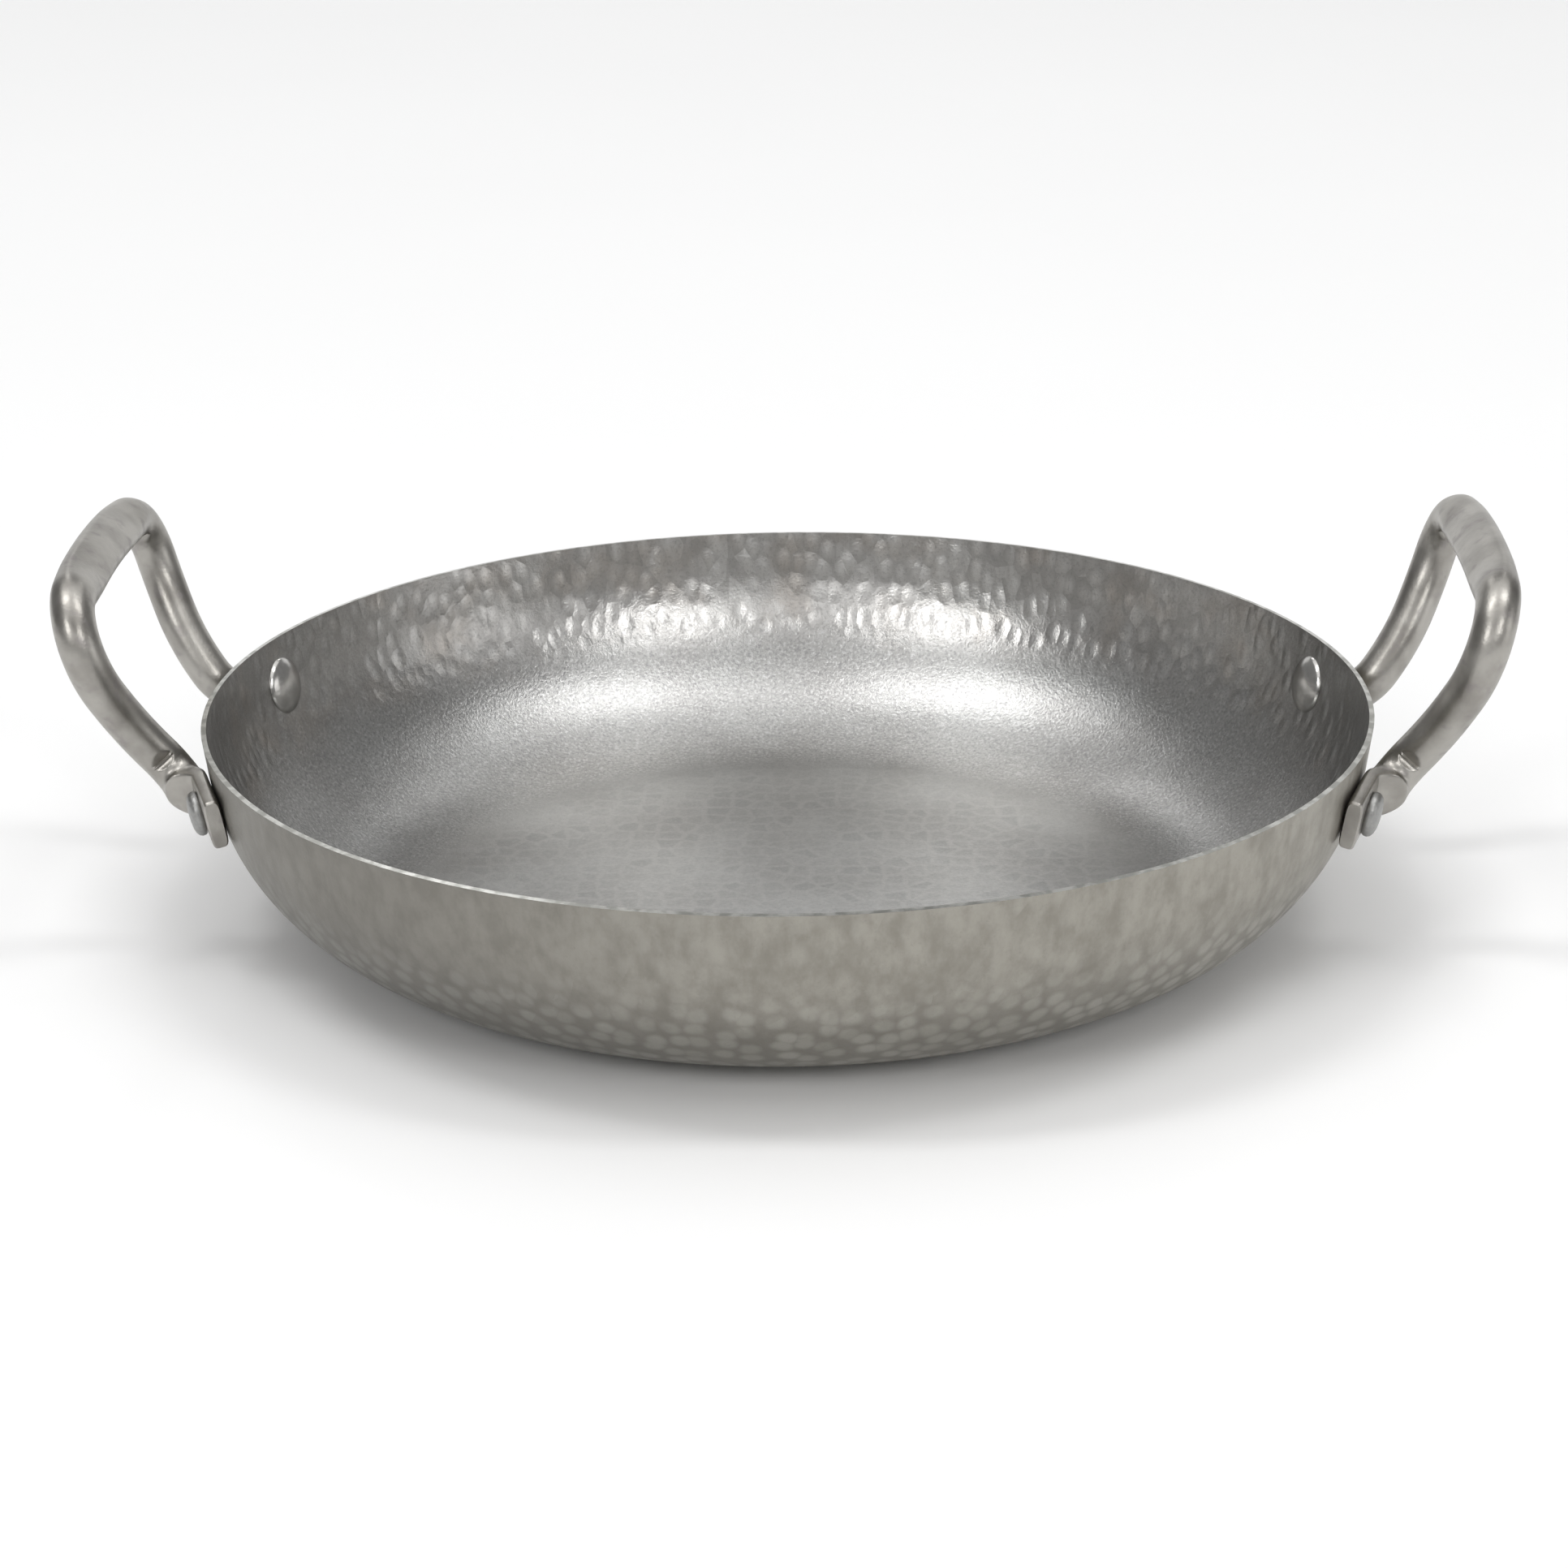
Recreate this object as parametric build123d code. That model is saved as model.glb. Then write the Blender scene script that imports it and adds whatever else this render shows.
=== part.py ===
from build123d import *
from math import asin, atan2, cos, degrees, radians, sin, tan
import os

# A hand-hammered sheet-steel pan with two riveted rod handles. Millimetres and degrees.
# The origin is the centre of the base, on the surface the pan stands on: +Z up, handles along X.

# Bowl: a flat base, a large corner arc and a short wall that flares up to a plain cut rim.
RIM_RADIUS = 140.0
BOWL_HEIGHT = 51.6
SHEET = 1.2
WALL_FLARE = 7.9
CORNER_RADIUS = 48.3

# Rivets: each goes through the wall and a handle foot, square to the wall.
RIVET_BEARING = 18.6
RIVET_HEIGHT = 39.3
SHANK_RADIUS = 3.0
INNER_HEAD_RADIUS = 7.25
INNER_HEAD_HEIGHT = 2.6
OUTER_HEAD_RADIUS = 5.3
OUTER_HEAD_HEIGHT = 2.9
OUTER_HEAD_CROWN = 1.3

# Handles: one round rod each, flattened into a foot at both ends.
ROD_RADIUS = 5.0
FOOT_THICKNESS = 4.0
FOOT_HEIGHT = 12.4
FOOT_CORNER_RADIUS = 1.6
BACK_FLAT_DEPTH = 0.4
CHEEK = 10.0
CHEEK_ANGLE = 40.0
GRIP_FLAT_DEPTH = 1.5
GRIP_FLAT_HALF_LENGTH = 34.0
GRIP_FLAT_TILT = 42.0

# The foot's middle line from its end to the crimp, as distances along and up the wall from the rivet.
FOOT_LINE = [(9.8, -0.4), (-17.0, 2.9)]

# The rod's centreline from a crimp to the middle of the grip, with the bend at each of its corners.
LEG_POINTS = [(152.1, 34.2, 55.4), (158.3, 41.2, 69.3), (163.4, 43.0, 86.4), (164.3, 0.0, 90.0)]
LEG_BENDS = [66.0, 30.0, 12.0, 300.0]
CRIMP_BEND = 8.5


def wall_centre_radius():
    """Distance from the pan's axis to the centre of the corner arc."""
    flare = radians(WALL_FLARE)
    arc_top = CORNER_RADIUS * (1 - sin(flare))
    return RIM_RADIUS - (BOWL_HEIGHT - arc_top) * tan(flare) - CORNER_RADIUS * cos(flare)


def rivet_plane():
    """Local frame of the +X +Y rivet: origin on the outer wall, x along the wall, z square out of it."""
    droop = asin((CORNER_RADIUS - RIVET_HEIGHT) / CORNER_RADIUS)
    radius = wall_centre_radius() + CORNER_RADIUS * cos(droop)
    bearing = radians(RIVET_BEARING)
    origin = Vector(radius * cos(bearing), radius * sin(bearing), RIVET_HEIGHT)
    outward = Vector(cos(bearing) * cos(droop), sin(bearing) * cos(droop), -sin(droop))
    return Plane(origin=origin, x_dir=Vector(-sin(bearing), cos(bearing), 0), z_dir=outward)


def wall_outline(inset):
    """Solid of revolution inside the outer skin, moved inwards by inset."""
    flare = radians(WALL_FLARE)
    centre = wall_centre_radius()
    arc = CORNER_RADIUS - inset
    arc_top = (centre + arc * cos(flare), CORNER_RADIUS - arc * sin(flare))
    rim = (arc_top[0] + (BOWL_HEIGHT - arc_top[1]) * tan(flare), BOWL_HEIGHT)
    halfway = radians((90 + WALL_FLARE) / 2)
    arc_middle = (centre + arc * cos(halfway), CORNER_RADIUS - arc * sin(halfway))
    outline = Curve() + [
        Polyline((0, BOWL_HEIGHT), (0, inset), (centre, inset)),
        ThreePointArc((centre, inset), arc_middle, arc_top),
        Polyline(arc_top, rim, (0, BOWL_HEIGHT)),
    ]
    return revolve(Plane.XZ * make_face(outline), Axis.Z)


def four_ways(shape):
    """The shape at its +X +Y place and mirrored to the other three, with each place's name."""
    right_back = shape
    right_front = mirror(shape, Plane.XZ)
    return {
        "right_back": right_back,
        "right_front": right_front,
        "left_back": mirror(right_back, Plane.YZ),
        "left_front": mirror(right_front, Plane.YZ),
    }


def make_bowl(hole):
    bowl = wall_outline(0) - wall_outline(SHEET)
    for place in four_ways(hole).values():
        bowl -= place
    return bowl


def make_rivet(lug, bowl):
    """Factory head inside the bowl, shank, and a head upset over the foot outside."""
    sphere_radius = (INNER_HEAD_RADIUS**2 + INNER_HEAD_HEIGHT**2) / (2 * INNER_HEAD_HEIGHT)
    ball = Pos(0, 0, sphere_radius - SHEET - INNER_HEAD_HEIGHT) * Sphere(sphere_radius)
    cap_block = Pos(0, 0, -SHEET - INNER_HEAD_HEIGHT) * Cylinder(
        INNER_HEAD_RADIUS * 1.1, INNER_HEAD_HEIGHT, align=(Align.CENTER, Align.CENTER, Align.MIN)
    )
    shank = Pos(0, 0, -SHEET) * Cylinder(
        SHANK_RADIUS, SHEET + FOOT_THICKNESS, align=(Align.CENTER, Align.CENTER, Align.MIN)
    )
    side = OUTER_HEAD_HEIGHT - OUTER_HEAD_CROWN
    crown_radius = (OUTER_HEAD_RADIUS**2 + OUTER_HEAD_CROWN**2) / (2 * OUTER_HEAD_CROWN)
    crown = Pos(0, 0, FOOT_THICKNESS + OUTER_HEAD_HEIGHT - crown_radius) * Sphere(crown_radius)
    drum = Pos(0, 0, FOOT_THICKNESS) * Cylinder(
        OUTER_HEAD_RADIUS, side + OUTER_HEAD_CROWN, align=(Align.CENTER, Align.CENTER, Align.MIN)
    )
    return lug * ((ball & cap_block) + shank + (crown & drum)) - bowl


def rod_path(lug):
    """Centreline of one handle, as straight runs joined by tangent arcs, from inside one foot to the other."""
    end, crimp = (Vector(*point, ROD_RADIUS - BACK_FLAT_DEPTH) for point in FOOT_LINE)
    foot = [lug.from_local_coords(point) for point in ((end + crimp) / 2, crimp)]
    half = foot + [Vector(*point) for point in LEG_POINTS]
    other_half = [Vector(point.X, -point.Y, point.Z) for point in reversed(half[:-1])]
    bends = [CRIMP_BEND] + LEG_BENDS
    return FilletPolyline(*half, *other_half, radius=bends + bends[-2::-1])


def make_foot_trim(lug):
    """What hammering the foot flat takes away outside its outer face, up to the sloped cheek."""
    depth = 4 * ROD_RADIUS
    slope = depth * tan(radians(CHEEK_ANGLE))
    beyond_end = 2 * FOOT_LINE[0][0]
    outline = Polyline(
        (-CHEEK, FOOT_THICKNESS), (beyond_end, FOOT_THICKNESS), (beyond_end, depth + FOOT_THICKNESS),
        (-CHEEK - slope, depth + FOOT_THICKNESS), close=True,
    )
    return lug * extrude(Plane.XZ * make_face(outline), amount=FOOT_HEIGHT, both=True)


def make_handle(lug, hole):
    path = rod_path(lug)
    rod = sweep(Plane(origin=path @ 0, z_dir=path % 0) * Circle(ROD_RADIUS), path=path)
    (end_x, end_y), (crimp_x, crimp_y) = FOOT_LINE
    foot_length = Vector(end_x - crimp_x, end_y - crimp_y).length
    foot_tilt = degrees(atan2(end_y - crimp_y, end_x - crimp_x))
    foot_place = Pos((end_x + crimp_x) / 2, (end_y + crimp_y) / 2) * Rot(0, 0, foot_tilt)
    foot_outline = foot_place * RectangleRounded(foot_length, FOOT_HEIGHT, FOOT_CORNER_RADIUS)
    foot = lug * extrude(foot_outline, FOOT_THICKNESS)
    trim = make_foot_trim(lug)
    behind = lug * Pos(0, 0, -ROD_RADIUS / 2) * Box(3 * foot_length, 3 * FOOT_HEIGHT, ROD_RADIUS)
    handle = rod - trim - mirror(trim, Plane.XZ) - behind - mirror(behind, Plane.XZ)
    handle = handle + foot + mirror(foot, Plane.XZ)
    return handle - hole - mirror(hole, Plane.XZ) - make_grip_trim()


def make_grip_trim():
    """The flat pressed along the grip, on the side that faces the pan."""
    middle = Vector(*LEG_POINTS[-1])
    tilt = radians(GRIP_FLAT_TILT)
    face = Plane(origin=middle, x_dir=(0, 1, 0), z_dir=(-cos(tilt), 0, sin(tilt)))
    outer = ROD_RADIUS - GRIP_FLAT_DEPTH
    block = Box(2 * GRIP_FLAT_HALF_LENGTH, 4 * ROD_RADIUS, 2 * ROD_RADIUS)
    return face * Pos(0, 0, outer + ROD_RADIUS) * block


lug = rivet_plane()
hole = lug * Cylinder(SHANK_RADIUS, 4 * FOOT_THICKNESS)
bowl = make_bowl(hole)
handle = make_handle(lug, hole)
nodes = {"bowl": bowl, "handle_right": handle, "handle_left": mirror(handle, Plane.YZ)}
for place, rivet in four_ways(make_rivet(lug, bowl)).items():
    nodes["rivet_" + place] = rivet

os.makedirs("parts", exist_ok=True)
for name, solid in nodes.items():
    export_step(solid, f"parts/{name}.step")
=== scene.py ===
import math

import bpy
import numpy as np
from mathutils import Matrix, Vector


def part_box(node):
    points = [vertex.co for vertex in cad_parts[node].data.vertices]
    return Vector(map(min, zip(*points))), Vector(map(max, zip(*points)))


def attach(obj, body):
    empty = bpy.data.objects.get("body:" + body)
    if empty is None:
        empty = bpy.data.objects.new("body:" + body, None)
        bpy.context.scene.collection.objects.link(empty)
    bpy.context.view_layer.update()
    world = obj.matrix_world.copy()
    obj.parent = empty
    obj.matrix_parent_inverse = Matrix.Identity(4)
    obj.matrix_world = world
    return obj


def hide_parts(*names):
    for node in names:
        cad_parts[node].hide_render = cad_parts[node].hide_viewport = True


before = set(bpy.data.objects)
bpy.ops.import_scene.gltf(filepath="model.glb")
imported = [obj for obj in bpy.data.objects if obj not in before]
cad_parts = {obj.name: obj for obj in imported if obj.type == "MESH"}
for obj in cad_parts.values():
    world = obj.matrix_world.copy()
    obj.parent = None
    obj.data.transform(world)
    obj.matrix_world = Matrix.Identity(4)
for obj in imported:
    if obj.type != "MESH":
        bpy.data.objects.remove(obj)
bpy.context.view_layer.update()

# ---------------------------------------------------------------------------------------------------
# The bowl. One disc of 1.2 mm sheet steel, hammered while flat, drawn to a flat base, a wide round
# corner and a short flared wall, and hammered again on the wall. Its rim is a plain cut edge.

sheet = 0.0012
rim_radius = 0.140
rim_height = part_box("bowl")[1].z
corner_radius = 0.0483
flare = math.radians(7.9)
mark_size = 0.0058
wall_mark_size = 0.0041
ring_cuts = (31, 4)

corner_height = corner_radius * (1 - math.sin(flare))
base_radius = rim_radius - corner_radius * math.cos(flare) - (rim_height - corner_height) * math.tan(flare)
corner_length = corner_radius * (math.pi / 2 - flare)
wall_length = (rim_height - corner_height) / math.cos(flare)
blank_radius = base_radius + corner_length + wall_length


class Wire:
    """A socket of a node tree that can be used in a Python expression."""

    def __init__(self, tree, socket=None):
        self.tree = tree
        self.socket = socket

    def node(self, kind, settings=None, sockets=None, out=0):
        """A new node of this kind, with its settings made first and then its sockets' values or links."""
        made = self.tree.nodes.new(kind)
        for name, setting in (settings or {}).items():
            setattr(made, name, setting)
        for name, value in (sockets or {}).items():
            if isinstance(value, Wire):
                self.tree.links.new(value.socket, made.inputs[name])
            elif isinstance(value, tuple) and len(value) == 3 and made.inputs[name].type == "RGBA":
                made.inputs[name].default_value = (*value, 1)
            else:
                made.inputs[name].default_value = value
        return Wire(self.tree, made.outputs[out] if made.outputs else None)

    def math(self, operation, *terms):
        return self.node("ShaderNodeMath", {"operation": operation}, dict(enumerate(terms)))

    def __add__(self, other):
        return self.math("ADD", self, other)

    def __sub__(self, other):
        return self.math("SUBTRACT", self, other)

    def __mul__(self, other):
        return self.math("MULTIPLY", self, other)

    def __radd__(self, other):
        return self.math("ADD", other, self)

    def __rsub__(self, other):
        return self.math("SUBTRACT", other, self)

    def __rmul__(self, other):
        return self.math("MULTIPLY", other, self)

    def rise(self, start, end):
        """0 below start, 1 above end, and a smooth step between them."""
        settings = {"interpolation_type": "SMOOTHSTEP"}
        return self.node("ShaderNodeMapRange", settings, {0: self, 1: start, 2: end, 3: 0.0, 4: 1.0})

    def hump(self, start, top_start, top_end, end):
        """1 between the two tops, falling smoothly to 0 at the start and the end."""
        return self.rise(start, top_start) * (1 - self.rise(top_end, end))

    def noise(self, size, detail=2.0, roughness=0.5, stretch=(1, 1, 1)):
        """Noise with features of this size in metres, where self is a place."""
        place = self.node("ShaderNodeVectorMath", {"operation": "MULTIPLY"}, {0: self, 1: stretch})
        sockets = {"Vector": place, "Scale": 1 / size, "Detail": detail, "Roughness": roughness}
        return self.node("ShaderNodeTexNoise", {}, sockets)

    def tint(self, dark, light):
        """A colour between dark and light, where self goes from 0 to 1."""
        mix = {"data_type": "RGBA"}
        return self.node("ShaderNodeMix", mix, {0: self, 6: dark, 7: light}, out=2)

    def toward(self, colour, amount):
        """This colour turned towards another one by an amount."""
        return self.node("ShaderNodeMix", {"data_type": "RGBA"}, {0: amount, 6: self, 7: colour}, out=2)


def along_blank(blank):
    """Distance from the middle of the blank, in metres."""
    return blank.node("ShaderNodeVectorMath", {"operation": "LENGTH"}, {0: blank}, out="Value")


def hammer_marks(blank, place):
    """Marks struck on the metal: depth, from 0 at the ridges to 1, a round spot and a number for each.

    Those of the base are laid out on the flat blank, and the taller, narrower ones of the wall in place.
    """
    drift = mark_size * 0.45
    wander = blank.node("ShaderNodeTexNoise", {}, {"Vector": blank, "Scale": 0.5 / mark_size}, out="Color")
    wander = blank.node("ShaderNodeVectorMath", {"operation": "SUBTRACT"}, {0: wander, 1: (0.5, 0.5, 0.5)})
    wander = blank.node("ShaderNodeVectorMath", {"operation": "SCALE"}, {0: wander, "Scale": drift})
    struck = blank.node("ShaderNodeVectorMath", {"operation": "ADD"}, {0: blank, 1: wander})
    to_edge = {"voronoi_dimensions": "2D", "feature": "DISTANCE_TO_EDGE"}
    to_middle = {"voronoi_dimensions": "2D", "feature": "F1"}
    sockets = {"Vector": struck, "Scale": 1 / mark_size, "Randomness": 0.7}
    edge = blank.node("ShaderNodeTexVoronoi", to_edge, sockets)
    reach = blank.node("ShaderNodeTexVoronoi", to_middle, sockets, out="Distance")
    lot = blank.node("ShaderNodeTexVoronoi", to_middle, sockets, out="Color")
    tall = blank.node("ShaderNodeVectorMath", {"operation": "MULTIPLY"}, {0: place, 1: (1, 1, 0.62)})
    sockets = {"Vector": tall, "Scale": 1 / wall_mark_size, "Randomness": 0.8}
    wall_reach = blank.node("ShaderNodeTexVoronoi", {"feature": "F1"}, sockets, out="Distance")
    wall_lot = blank.node("ShaderNodeTexVoronoi", {"feature": "F1"}, sockets, out="Color")
    on_wall = along_blank(blank).rise(base_radius + 0.044, base_radius + 0.054)
    marks = edge.rise(0.0, 0.42) * (1 - on_wall) + (1 - wall_reach.rise(0.05, 0.65)) * on_wall
    lot = lot.toward(wall_lot, on_wall)
    return marks, 1 - reach.rise(0.20, 0.56), lot.node("ShaderNodeSeparateXYZ", {}, {0: lot})


bpy.ops.object.select_all(action="DESELECT")
bpy.ops.mesh.primitive_circle_add(vertices=6, radius=1, fill_type="TRIFAN")
bowl = bpy.context.object
bowl.name = "hammered_bowl"
bpy.ops.object.mode_set(mode="EDIT")
for parts in ring_cuts:
    bpy.ops.mesh.subdivide(number_cuts=parts - 1)
bpy.ops.mesh.flip_normals()
bpy.ops.object.mode_set(mode="OBJECT")

# Each six-sided ring of the disc becomes a round one, and then takes its place along the profile.
count = len(bowl.data.vertices)
flat = np.empty(count * 3)
bowl.data.vertices.foreach_get("co", flat)
flat = flat.reshape(-1, 3)
turn = (np.arctan2(flat[:, 1], flat[:, 0]) - math.pi / 2) % (2 * math.pi)
side = np.floor(turn / (math.pi / 3) + 1e-6)
within = turn - side * math.pi / 3
reach = np.hypot(flat[:, 0], flat[:, 1])
second = reach * np.sin(within) / math.sin(math.pi / 3)
first = reach * np.cos(within) - second / 2
ring = first + second
share = np.divide(second, ring, out=np.zeros(count), where=ring > 1e-9)
bearing = math.pi / 2 + (side + share) * math.pi / 3
run = ring * blank_radius
bend = np.clip((run - base_radius) / corner_radius, 0, math.pi / 2 - flare)
climb = np.clip(run - base_radius - corner_length, 0, None)
radius = np.minimum(run, base_radius) + corner_radius * np.sin(bend) + climb * math.sin(flare)
height = corner_radius * (1 - np.cos(bend)) + climb * math.cos(flare)
drawn = np.stack([radius * np.cos(bearing), radius * np.sin(bearing), height], axis=1)
bowl.data.vertices.foreach_set("co", drawn.ravel())
blank_place = np.stack([run * np.cos(bearing), run * np.sin(bearing), np.zeros(count)], axis=1)
bowl.data.attributes.new("blank", "FLOAT_VECTOR", "POINT")
bowl.data.attributes["blank"].data.foreach_set("vector", blank_place.ravel())
bowl.data.update()

hammering = bpy.data.node_groups.new("hammering", "GeometryNodeTree")
hammering.interface.new_socket("Geometry", in_out="INPUT", socket_type="NodeSocketGeometry")
hammering.interface.new_socket("Geometry", in_out="OUTPUT", socket_type="NodeSocketGeometry")
start = Wire(hammering)
metal = start.node("NodeGroupInput")
blank = start.node("GeometryNodeInputNamedAttribute", {"data_type": "FLOAT_VECTOR"}, {"Name": "blank"})
place = start.node("GeometryNodeInputPosition")
marks, _, lot = hammer_marks(blank, place)
away = along_blank(blank)
on_wall = away.hump(base_radius + 0.042, base_radius + 0.056, blank_radius - 0.005, blank_radius)
on_base = 1 - away.rise(base_radius * 0.85, base_radius + corner_length * 0.3)
depth = marks * (0.00002 + on_wall * 0.00003 + on_base * (0.5 + lot) * 0.00004)
out = start.node("GeometryNodeInputNormal")
push = start.node("ShaderNodeVectorMath", {"operation": "SCALE"}, {0: out, "Scale": depth})
struck = start.node("GeometryNodeSetPosition", {}, {"Geometry": metal, "Offset": push})
start.node("NodeGroupOutput", {}, {"Geometry": struck})
bpy.ops.object.modifier_add(type="NODES")
bowl.modifiers[-1].node_group = hammering
bpy.ops.object.modifier_apply(modifier=bowl.modifiers[-1].name)
bpy.ops.object.modifier_add(type="SOLIDIFY")
bowl.modifiers[-1].thickness = sheet
bowl.modifiers[-1].offset = -1
bowl.modifiers[-1].material_offset = 1
bowl.modifiers[-1].material_offset_rim = 2


def finish(name):
    """A new material, a start for its nodes, and the place that its patterns are laid out in."""
    made = bpy.data.materials.new(name)
    made.use_nodes = True
    made.node_tree.nodes.clear()
    start = Wire(made.node_tree)
    place = start.node("ShaderNodeTexCoord", {}, {}, out="Object")
    return made, start, place


def steel(start, colour, roughness, bump_height, bump_depth, **fixed):
    """Bare metal of this colour and roughness, with a pattern of height that is bump_depth metres at 1."""
    sockets = {"Height": bump_height, "Distance": bump_depth, "Strength": 1.0}
    bump = start.node("ShaderNodeBump", {}, sockets)
    sockets = {"Base Color": colour, "Roughness": roughness, "Metallic": 1.0, "Normal": bump, **fixed}
    shader = start.node("ShaderNodeBsdfPrincipled", {}, sockets)
    start.node("ShaderNodeOutputMaterial", {}, {"Surface": shader})


# Outside: warm grey, with the raised backs of the marks rubbed bright low on the curve, and painted
# shade that darkens it towards the left.
outside, start, place = finish("hammered_outside")
blank = start.node("ShaderNodeAttribute", {"attribute_name": "blank"}, {}, out="Vector")
marks, spots, lot = hammer_marks(blank, place)
away = along_blank(blank)
low_curve = away.hump(base_radius * 0.9, base_radius * 1.02, base_radius + 0.044, base_radius + 0.066)
mottle = place.noise(0.0065, detail=4.0, roughness=0.65, stretch=(1, 1, 0.6))
colour = mottle.rise(0.3, 0.7).tint((0.272, 0.258, 0.226), (0.375, 0.359, 0.320))
colour = colour.toward((0.275, 0.262, 0.236), low_curve * (1 - spots) * 0.55)
colour = colour.toward((0.48, 0.468, 0.43), spots * low_curve * (0.3 + lot * 0.6))
colour = colour.toward((0.41, 0.395, 0.355), marks * (1 - low_curve) * lot * 0.55)
# Painted shade: the outside's colour is darkened towards the left, where less light falls.
painted_shade_left = 1 - place.node("ShaderNodeSeparateXYZ", {}, {0: place}).rise(-0.10, 0.02)
colour = colour.toward((0.15, 0.145, 0.135), painted_shade_left * 0.58)
grain = place.noise(0.0009, detail=3.0, roughness=0.65)
pitting = grain.rise(0.55, 0.8) * 0.25
colour = colour.toward((0.20, 0.19, 0.17), pitting)
rough = 0.44 - spots * low_curve * 0.08
steel(start, colour, rough, grain * 0.5 + marks * 0.5, 0.00012)

# Inside: neutral grey, blasted, with thin pale ridges between the marks on the base. The wall has a
# painted highlight at the back, with drop-like marks and a little heat colour.
inside, start, place = finish("hammered_inside")
blank = start.node("ShaderNodeAttribute", {"attribute_name": "blank"}, {}, out="Vector")
marks, _, lot = hammer_marks(blank, place)
away = along_blank(blank)
on_base = 1 - away.rise(base_radius * 0.86, base_radius * 1.06)
on_corner = away.hump(base_radius * 0.97, base_radius * 1.08, base_radius + 0.045, base_radius + 0.065)
on_wall = away.rise(base_radius + 0.044, base_radius + 0.056)
cloud = place.noise(0.03, detail=4.0)
colour = cloud.rise(0.3, 0.7).tint((0.37, 0.365, 0.355), (0.45, 0.45, 0.44))
# Painted highlight: the wall's colour is lightened at the back, which faces the front lamps.
painted_highlight_back = place.node("ShaderNodeSeparateXYZ", {}, {0: place}, out=1).rise(0.04, 0.13)
colour = colour.toward((0.70, 0.69, 0.67), on_wall * painted_highlight_back * 0.85)
heat = place.noise(0.018, detail=3.0).rise(0.5, 0.7)
colour = colour.toward((0.50, 0.44, 0.38), heat * on_wall * 0.45)
ridge = 1 - marks.rise(0.02, 0.42)
colour = colour.toward((0.52, 0.52, 0.50), ridge * on_base * 0.30)
colour = colour.toward((0.29, 0.29, 0.29), lot.rise(0.6, 1.0) * (1 - ridge) * on_base * 0.28)
grain = place.noise(0.0008, detail=3.0, roughness=0.7)
dark_grain = grain.rise(0.50, 0.66) * (0.18 + on_corner * 0.22 + on_wall * 0.08)
light_grain = (1 - grain.rise(0.34, 0.48)) * (0.15 + on_corner * 0.4 + on_wall * 0.2)
colour = colour.toward((0.16, 0.16, 0.17), dark_grain)
colour = colour.toward((0.66, 0.66, 0.66), light_grain)
colour = colour.toward((0.30, 0.29, 0.28), (1 - marks) * on_wall * (0.2 + lot * 0.4))
rough = 0.31 - on_wall * 0.02
surface = grain * (0.25 + on_corner * 0.2 + on_wall * 0.08) + marks * on_wall * 0.9
steel(start, colour, rough, surface, 0.00025)

# The cut rim, bare, and lighter than the faces only in places.
rim, start, place = finish("cut_rim")
grain = place.noise(0.004, detail=3.0)
bare = grain.rise(0.4, 0.62)
steel(start, bare.tint((0.36, 0.36, 0.335), (0.60, 0.60, 0.57)), 0.3, grain, 0.00002)

for material in (outside, inside, rim):
    bowl.data.materials.append(material)
bpy.ops.object.modifier_apply(modifier=bowl.modifiers[-1].name)
bpy.ops.object.shade_smooth_by_angle(angle=math.radians(40))
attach(bowl, "root")
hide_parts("bowl")

# ---------------------------------------------------------------------------------------------------
# The handles. Each is one straight 10 mm steel rod: its ends are hammered into flat feet, its middle
# is pressed flat for the palm, and it is bent over a tool that leaves a nick inside each sharp bend.

rod_radius = 0.0050
foot_half_thickness = 0.0020
foot_half_height = 0.0062
foot_line = ((0.0098, -0.0004), (-0.0170, 0.0029))
crimp_bend = 0.0085
leg_corners = ((0.1521, 0.0342, 0.0554), (0.1583, 0.0412, 0.0693), (0.1634, 0.0430, 0.0864),
               (0.1643, 0.0, 0.0900))
leg_bends = (0.066, 0.030, 0.012, 0.300)
arc_steps = 16
station_count = 600
smoothing = 13
foot_share, foot_reach = 0.55, 0.045
nick_half_length = 0.0030
nick_stations = 14
nick_bar_height, nick_bar_half_width = 0.0006, 0.0003
rivet_bearing = math.radians(18.6)
rivet_height = 0.0393


def wall_frame(side, end):
    """A rivet's place on the outer wall: x along the wall away from the grip, y up it, z square out."""
    droop = math.asin((corner_radius - rivet_height) / corner_radius)
    radius = base_radius + corner_radius * math.cos(droop)
    ahead = Vector((side * math.cos(rivet_bearing), end * math.sin(rivet_bearing), 0))
    along = Vector((-side * math.sin(rivet_bearing), end * math.cos(rivet_bearing), 0))
    out = ahead * math.cos(droop) - Vector((0, 0, math.sin(droop)))
    upward = ahead * math.sin(droop) + Vector((0, 0, math.cos(droop)))
    turned = Matrix((along, upward, out)).transposed().to_4x4()
    return Matrix.Translation(ahead * radius + Vector((0, 0, rivet_height))) @ turned


def bent_line(corners, bends):
    """Places along straight runs joined by tangent arcs."""
    places = [corners[0]]
    for before, corner, after, bend in zip(corners, corners[1:], corners[2:], bends):
        arrive = (before - corner).normalized()
        leave = (after - corner).normalized()
        half = arrive.angle(leave) / 2
        centre = corner + (arrive + leave).normalized() * bend / math.sin(half)
        spoke = corner + arrive * bend / math.tan(half) - centre
        axis = leave.cross(arrive)
        for step in range(arc_steps + 1):
            turn = step / arc_steps * (math.pi - 2 * half)
            places.append(centre + Matrix.Rotation(turn, 3, axis) @ spoke)
    return places + [corners[-1]]


def smooth(value, start, end):
    """0 before start, 1 after end, and a smooth step between them."""
    share = np.clip((value - start) / (end - start), 0, 1)
    return share * share * (3 - 2 * share)


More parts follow.
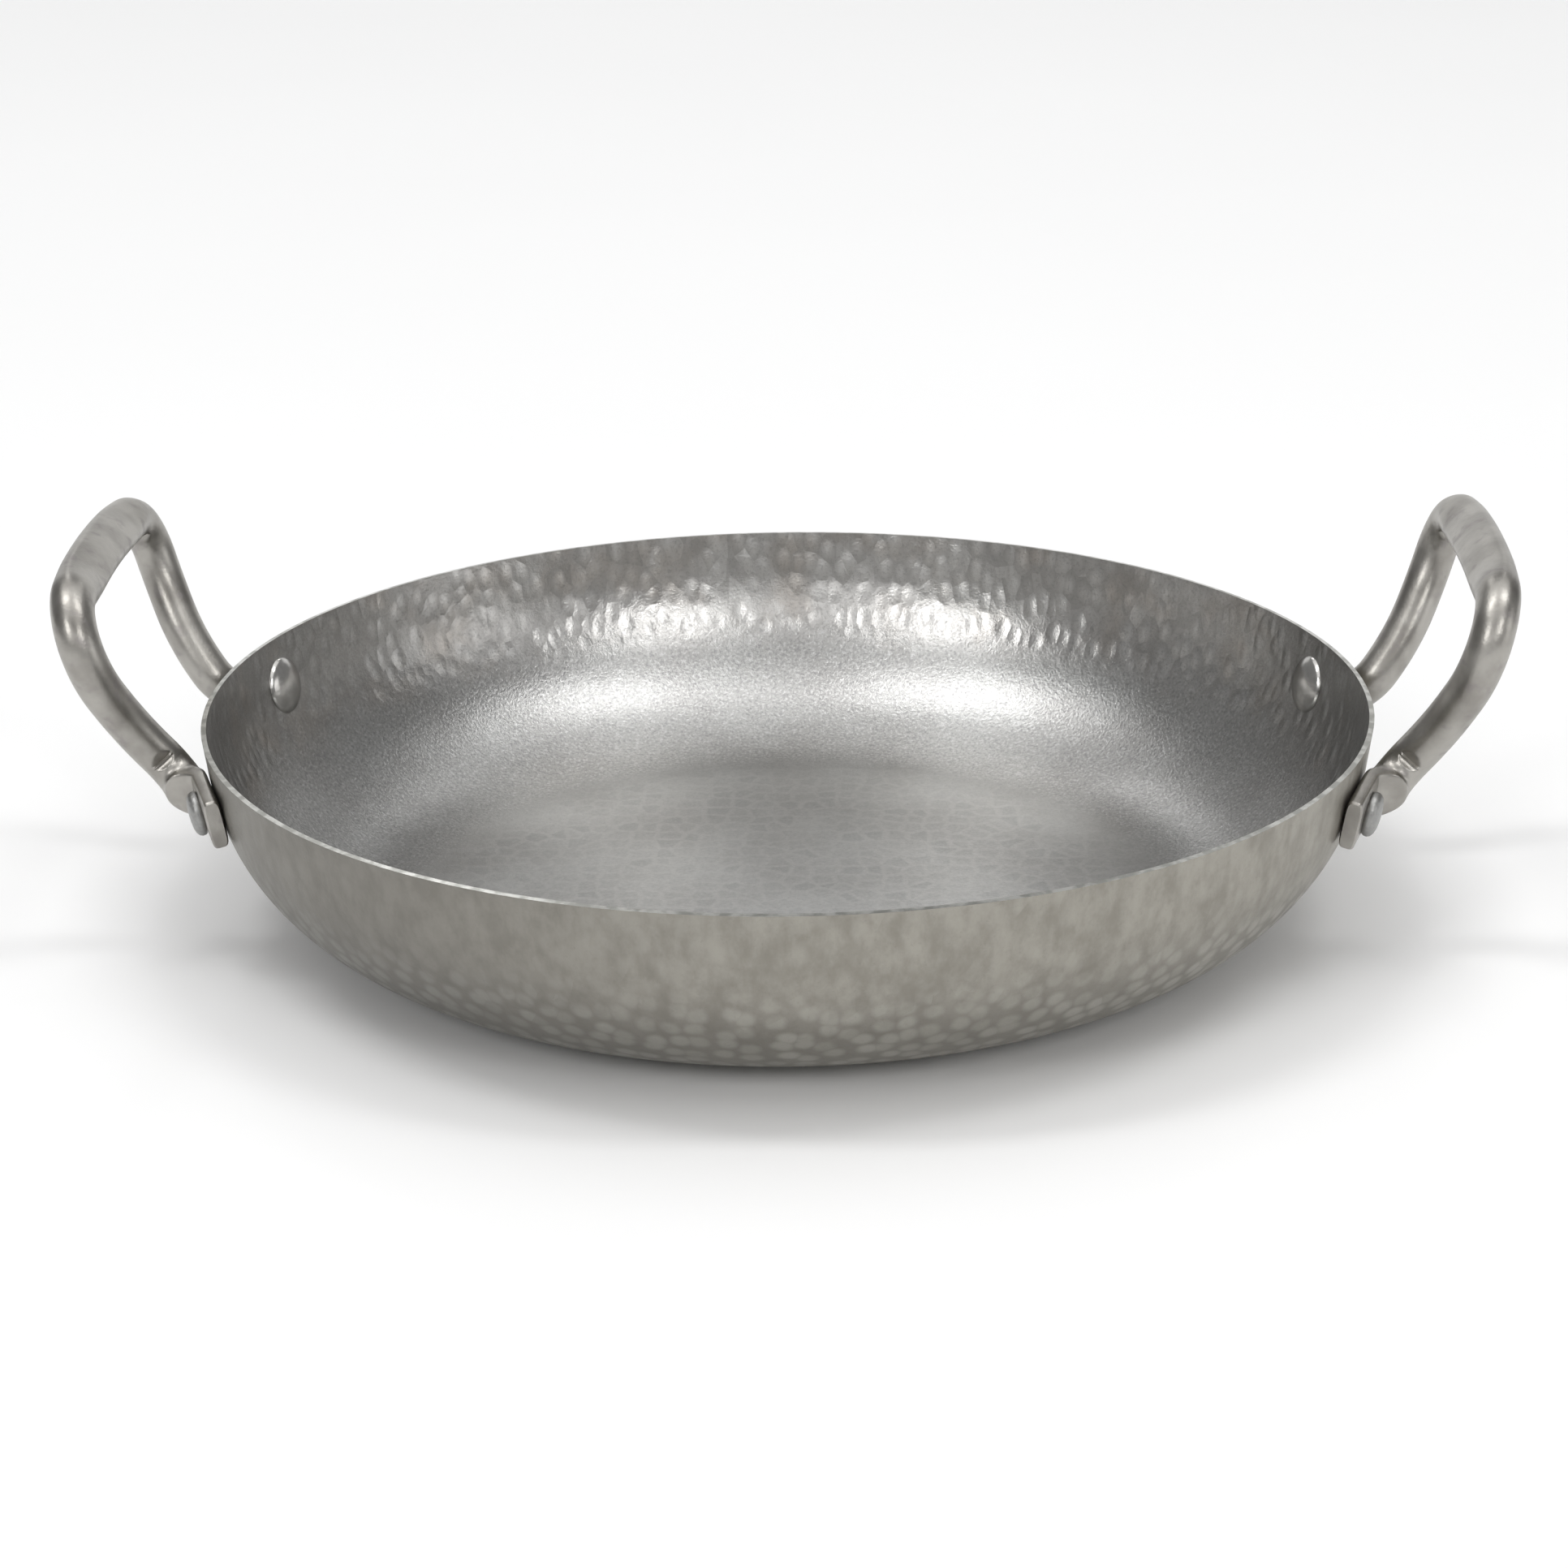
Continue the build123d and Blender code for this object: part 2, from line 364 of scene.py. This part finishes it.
foot_frame = wall_frame(1, 1)
line = [foot_frame @ Vector((*place, rod_radius)) for place in foot_line]
line += [Vector(corner) for corner in leg_corners]
line += [Vector((corner.x, -corner.y, corner.z)) for corner in reversed(line[:-1])]
bends = [crimp_bend, *leg_bends, *leg_bends[-2::-1], crimp_bend]
line = np.array(bent_line(line, bends))
travel = np.concatenate([[0], np.cumsum(np.linalg.norm(np.diff(line, axis=0), axis=1))])
half_length = travel[-1] / 2
arc_start = travel[1]
crimp_middle = arc_start + crimp_bend * 1.55

# The rod is a straight bar with close rings at the foot and wider ones along the leg and the grip.
bpy.ops.object.select_all(action="DESELECT")
bpy.ops.mesh.primitive_cylinder_add(vertices=72, radius=1, depth=1, location=(0, 0, 0.5))
rod = bpy.context.object
rod.name = "handle_rod_right"
bpy.ops.object.transform_apply(location=True)
bpy.ops.object.mode_set(mode="EDIT")
bpy.ops.mesh.select_mode(type="EDGE")
for cuts in (15, 14):
    bpy.ops.mesh.select_all(action="DESELECT")
    bpy.ops.object.mode_set(mode="OBJECT")
    for edge in rod.data.edges:
        one, two = (rod.data.vertices[index].co for index in edge.vertices)
        edge.select = abs(one.z - two.z) > 0.0001
    bpy.ops.object.mode_set(mode="EDIT")
    bpy.ops.mesh.subdivide(number_cuts=cuts)
bpy.ops.object.mode_set(mode="OBJECT")

count = len(rod.data.vertices)
bar = np.empty(count * 3)
rod.data.vertices.foreach_get("co", bar)
bar = bar.reshape(-1, 3)
reach = np.interp(bar[:, 2], (0, foot_share, 1), (0, foot_reach, half_length))

# Foot: thin and tall, flush with the wall, with a sloped cheek where the round rod begins.
rounding = smooth(reach, arc_start - 0.0035, arc_start + 0.0035)
half_thickness = foot_half_thickness + (rod_radius - foot_half_thickness) * rounding
narrowing = smooth(reach, arc_start - 0.003, arc_start + 0.008)
half_height = foot_half_height + (rod_radius - foot_half_height) * narrowing
squareness = 4.5 - 2.5 * smooth(reach, arc_start - 0.002, arc_start + 0.006)
chamfer = 0.0004 * (1 - smooth(reach, 0, 0.0006))
out_part = np.sign(bar[:, 0]) * np.abs(bar[:, 0]) ** (2 / squareness) * (half_thickness - chamfer)
up_part = np.sign(bar[:, 1]) * np.abs(bar[:, 1]) ** (2 / squareness) * (half_height - chamfer)
out_part += half_thickness - rod_radius

# The bar follows the bent line, and its two cross directions are carried along without twist.
stations = np.linspace(0, half_length, station_count)
path = np.stack([np.interp(stations, travel, line[:, axis]) for axis in range(3)], axis=1)
longer = np.pad(path, ((smoothing // 2,) * 2, (0, 0)), mode="reflect", reflect_type="odd")
even = np.ones(smoothing) / smoothing
path = np.stack([np.convolve(longer[:, axis], even, "valid") for axis in range(3)], axis=1)
ahead = np.gradient(path, axis=0)
ahead /= np.linalg.norm(ahead, axis=1)[:, None]
out = np.empty_like(path)
out[0] = foot_frame.to_3x3().col[2]
for index in range(1, len(stations)):
    carried = out[index - 1] - ahead[index] * (out[index - 1] @ ahead[index])
    out[index] = carried / np.linalg.norm(carried)
across = np.cross(ahead, out)


def along_path(values):
    """These values at each vertex of the bar."""
    return np.stack([np.interp(reach, stations, values[:, axis]) for axis in range(3)], axis=1)


middle = along_path(path)
offset = along_path(out) * out_part[:, None] + along_path(across) * -up_part[:, None]

# Palm flat: the grip is pressed from above and inside, which spreads it by a sixth.
palm_tilt = math.radians(42)
pressed = np.array((-math.cos(palm_tilt), 0, math.sin(palm_tilt)))
spread = np.array((math.sin(palm_tilt), 0, math.cos(palm_tilt)))
grip_start = half_length - 0.0335
on_grip = smooth(reach, grip_start - 0.012, grip_start + 0.015)
thick = offset @ pressed
wide = offset @ spread
softness = 0.00035 + 0.0016 * smooth(wide, -0.001, 0.004)
limit = rod_radius * 1.2 - (rod_radius * 1.2 - 0.0034) * on_grip
flattened = -softness * np.logaddexp(-thick / softness, -limit / softness)
thick_change = (flattened - thick) * on_grip
offset += thick_change[:, None] * pressed + (wide * 0.17 * on_grip)[:, None] * spread

# Tool nicks: two small flats that meet at a raised line, on the inside of both sharp bends.
grip_corner = grip_start - 0.0045
for nick, nick_depth in ((crimp_middle, 0.0012), (grip_corner, 0.0010)):
    near = np.argmin(np.abs(stations - nick))
    inward = ahead[min(near + nick_stations, station_count - 1)] - ahead[near - nick_stations]
    inward /= np.linalg.norm(inward)
    away = np.abs(reach - nick)
    depth_here = nick_depth * np.clip(1 - away / nick_half_length, 0, 1)
    depth_here -= nick_bar_height * (away < nick_bar_half_width)
    outmost = offset @ inward
    over = np.clip(outmost - (rod_radius - depth_here), 0, None) * (away < nick_half_length)
    offset -= over[:, None] * inward

rod.data.vertices.foreach_set("co", (middle + offset).ravel())
rod.data.update()
bpy.ops.object.mode_set(mode="EDIT")
bpy.ops.mesh.select_all(action="SELECT")
bpy.ops.mesh.bisect(plane_co=(0, 0.00002, 0), plane_no=(0, 1, 0), clear_inner=True)
bpy.ops.mesh.select_all(action="SELECT")
bpy.ops.mesh.normals_make_consistent(inside=False)
bpy.ops.object.mode_set(mode="OBJECT")
bpy.ops.object.modifier_add(type="MIRROR")
rod.modifiers[-1].use_axis = (False, True, False)
rod.modifiers[-1].use_clip = True
rod.modifiers[-1].merge_threshold = 0.0001
bpy.ops.object.modifier_apply(modifier=rod.modifiers[-1].name)
bpy.ops.object.shade_smooth_by_angle(angle=math.radians(38))

# Polished steel, drawn and tumbled: fine pits, soft cloudy tone and a few darker smudges.
rod_steel, start, place = finish("polished_rod")
cloud = place.noise(0.009, detail=3.0)
pits = place.noise(0.0007, detail=3.0)
smudge = place.noise(0.004, detail=2.0).rise(0.55, 0.72)
colour = cloud.rise(0.3, 0.7).tint((0.30, 0.286, 0.264), (0.43, 0.415, 0.386))
colour = colour.toward((0.25, 0.225, 0.24), smudge * 0.3)
rough = 0.29 + cloud * 0.12 + smudge * 0.08
steel(start, colour, rough, pits * 0.6 + place.noise(0.0025) * 0.3, 0.00007)
rod.data.materials.append(rod_steel)

bpy.ops.object.duplicate()
other_rod = bpy.context.object
other_rod.name = "handle_rod_left"
other_rod.scale.x = -1
bpy.ops.object.transform_apply(scale=True)
bpy.ops.object.mode_set(mode="EDIT")
bpy.ops.mesh.select_all(action="SELECT")
bpy.ops.mesh.normals_make_consistent(inside=False)
bpy.ops.object.mode_set(mode="OBJECT")
for handle, node in ((rod, "handle_right"), (other_rod, "handle_left")):
    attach(handle, "root")
    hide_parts(node)

# ---------------------------------------------------------------------------------------------------
# The rivets. Turned steel, 6 mm in the shank: a bright low dome inside the bowl, and a thicker head
# outside that was hammered up over the foot and left dull.

inner_head = ((0.0, -0.0038), (0.0018, -0.00372), (0.0036, -0.00346), (0.0052, -0.00300),
              (0.0064, -0.00245), (0.0070, -0.00200), (0.00725, -0.00155), (0.00715, -0.0008))
shank = ((0.0030, -0.0008), (0.0030, 0.0040))
outer_head = ((0.0050, 0.0040), (0.00525, 0.0044), (0.0053, 0.0051), (0.0050, 0.0058),
              (0.0043, 0.00635), (0.0032, 0.0067), (0.0017, 0.00686), (0.0, 0.0069))
rivet_outline = inner_head + shank + outer_head
least_radius = 0.00001

bright, start, place = finish("bright_head")
scuff = place.noise(0.0016, detail=3.0)
steel(start, scuff.tint((0.50, 0.49, 0.47), (0.62, 0.61, 0.59)), 0.16 + scuff * 0.12, scuff, 0.00004)
dull, start, place = finish("dull_head")
scale = place.noise(0.0009, detail=3.0)
steel(start, scale.tint((0.25, 0.25, 0.245), (0.40, 0.40, 0.39)), 0.36 + scale * 0.12, scale, 0.00016)

for side, side_word in ((1, "right"), (-1, "left")):
    for end, end_word in ((1, "back"), (-1, "front")):
        bpy.ops.object.select_all(action="DESELECT")
        bpy.ops.mesh.primitive_circle_add(vertices=64, radius=rivet_outline[1][0], location=(0, 0, 0),
                                          fill_type="TRIFAN")
        rivet = bpy.context.object
        rivet.name = "turned_rivet_" + side_word + "_" + end_word
        for vertex in rivet.data.vertices:
            on_axis = vertex.co.length < 0.0001
            vertex.co.z = rivet_outline[0][1] if on_axis else rivet_outline[1][1]
            vertex.select = not on_axis
        bpy.ops.object.mode_set(mode="EDIT")
        bpy.ops.mesh.select_all(action="DESELECT")
        bpy.ops.mesh.select_mode(type="EDGE")
        bpy.ops.mesh.select_non_manifold()
        last = rivet_outline[1]
        for radius, height in rivet_outline[2:]:
            bpy.ops.mesh.extrude_edges_move()
            ratio = max(radius, least_radius) / last[0]
            bpy.ops.transform.resize(value=(ratio, ratio, 1))
            bpy.ops.transform.translate(value=(0, 0, height - last[1]))
            last = (max(radius, least_radius), height)
        bpy.ops.mesh.merge(type="CENTER")
        bpy.ops.mesh.select_all(action="SELECT")
        bpy.ops.mesh.normals_make_consistent(inside=False)
        bpy.ops.object.mode_set(mode="OBJECT")
        rivet.data.materials.append(bright)
        rivet.data.materials.append(dull)
        for face in rivet.data.polygons:
            face.material_index = int(face.center.z > 0.001)
        rivet.data.transform(wall_frame(side, end))
        if side * end < 0:
            rivet.data.flip_normals()
        bpy.ops.object.shade_smooth_by_angle(angle=math.radians(35))
        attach(rivet, "root")
        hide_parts("rivet_" + side_word + "_" + end_word)

# ---------------------------------------------------------------------------------------------------
# The setting. A plain pale floor, soft lights in front, above, at the sides and behind, which the bare
# steel mirrors, and a camera with a long lens that looks down at the pan by 20 degrees.

bpy.ops.mesh.primitive_plane_add(size=16, location=(0, 0, -0.0003))
table = bpy.context.object
table.name = "table_top"
pale, start, place = finish("pale_table")
tone = place.noise(0.4).tint((0.88, 0.88, 0.88), (0.91, 0.91, 0.91))
shader = start.node("ShaderNodeBsdfPrincipled", {}, {"Base Color": tone, "Roughness": 0.8})
start.node("ShaderNodeOutputMaterial", {}, {"Surface": shader})
table.data.materials.append(pale)

world = bpy.data.worlds.new("studio")
bpy.context.scene.world = world
world.use_nodes = True
world.node_tree.nodes["Background"].inputs["Color"].default_value = (1, 1, 1, 1)
world.node_tree.nodes["Background"].inputs["Strength"].default_value = 0.24


def soft_light(name, bearing, elevation, distance, width, height, watts):
    """A wide soft light that looks at the pan from this bearing (0 is the front) and elevation."""
    b, e = math.radians(bearing), math.radians(elevation)
    out = Vector((math.sin(b) * math.cos(e), -math.cos(b) * math.cos(e), math.sin(e)))
    bpy.ops.object.light_add(type="AREA", location=out * distance)
    light = bpy.context.object
    light.name = name
    light.rotation_euler = out.to_track_quat("Z", "Y").to_euler()
    light.data.shape = "RECTANGLE"
    light.data.size = width
    light.data.size_y = height
    light.data.energy = watts
    light.visible_camera = False


for name, bearing, elevation, distance, width, height, watts in (
        ("front_left", -37, 32, 3.2, 0.75, 0.9, 16), ("front_right", 33, 32, 3.2, 0.75, 0.9, 14.5),
        ("front_fill", -6, 24, 3.4, 4.0, 1.4, 15), ("side_right", 75, 12, 3.0, 1.5, 1.2, 8),
        ("top_left", -84, 67, 3.0, 0.42, 1.25, 16), ("top_right", 84, 67, 3.0, 0.42, 1.25, 12),
        ("back_right", 198, 40, 3.2, 0.4, 0.4, 3), ("back_left", 161, 40, 3.2, 0.4, 0.4, 1.5),
        ("backdrop", 180, 15, 3.2, 5.0, 1.8, 20), ("ceiling", 0, 90, 3.2, 5.0, 5.0, 68)):
    soft_light(name, bearing, elevation, distance, width, height, watts)

bpy.ops.object.camera_add()
camera = bpy.context.object
camera.name = "camera"
bearing, elevation, roll = math.radians(2.15), math.radians(20.27), math.radians(-0.73)
back = Vector((math.sin(bearing) * math.cos(elevation), -math.cos(bearing) * math.cos(elevation),
               math.sin(elevation)))
right = Vector((math.cos(bearing), math.sin(bearing), 0))
up = back.cross(right)
right, up = right * math.cos(roll) + up * math.sin(roll), up * math.cos(roll) - right * math.sin(roll)
eye = Vector((-0.00104, 0, 0.0289)) + back * 0.8915
turned = Matrix((right, up, back)).transposed().to_4x4()
camera.matrix_world = Matrix.Translation(eye) @ turned
camera.data.lens = 84.1
camera.data.sensor_width = 36
bpy.context.scene.camera = camera
bpy.context.scene.view_settings.view_transform = "Standard"
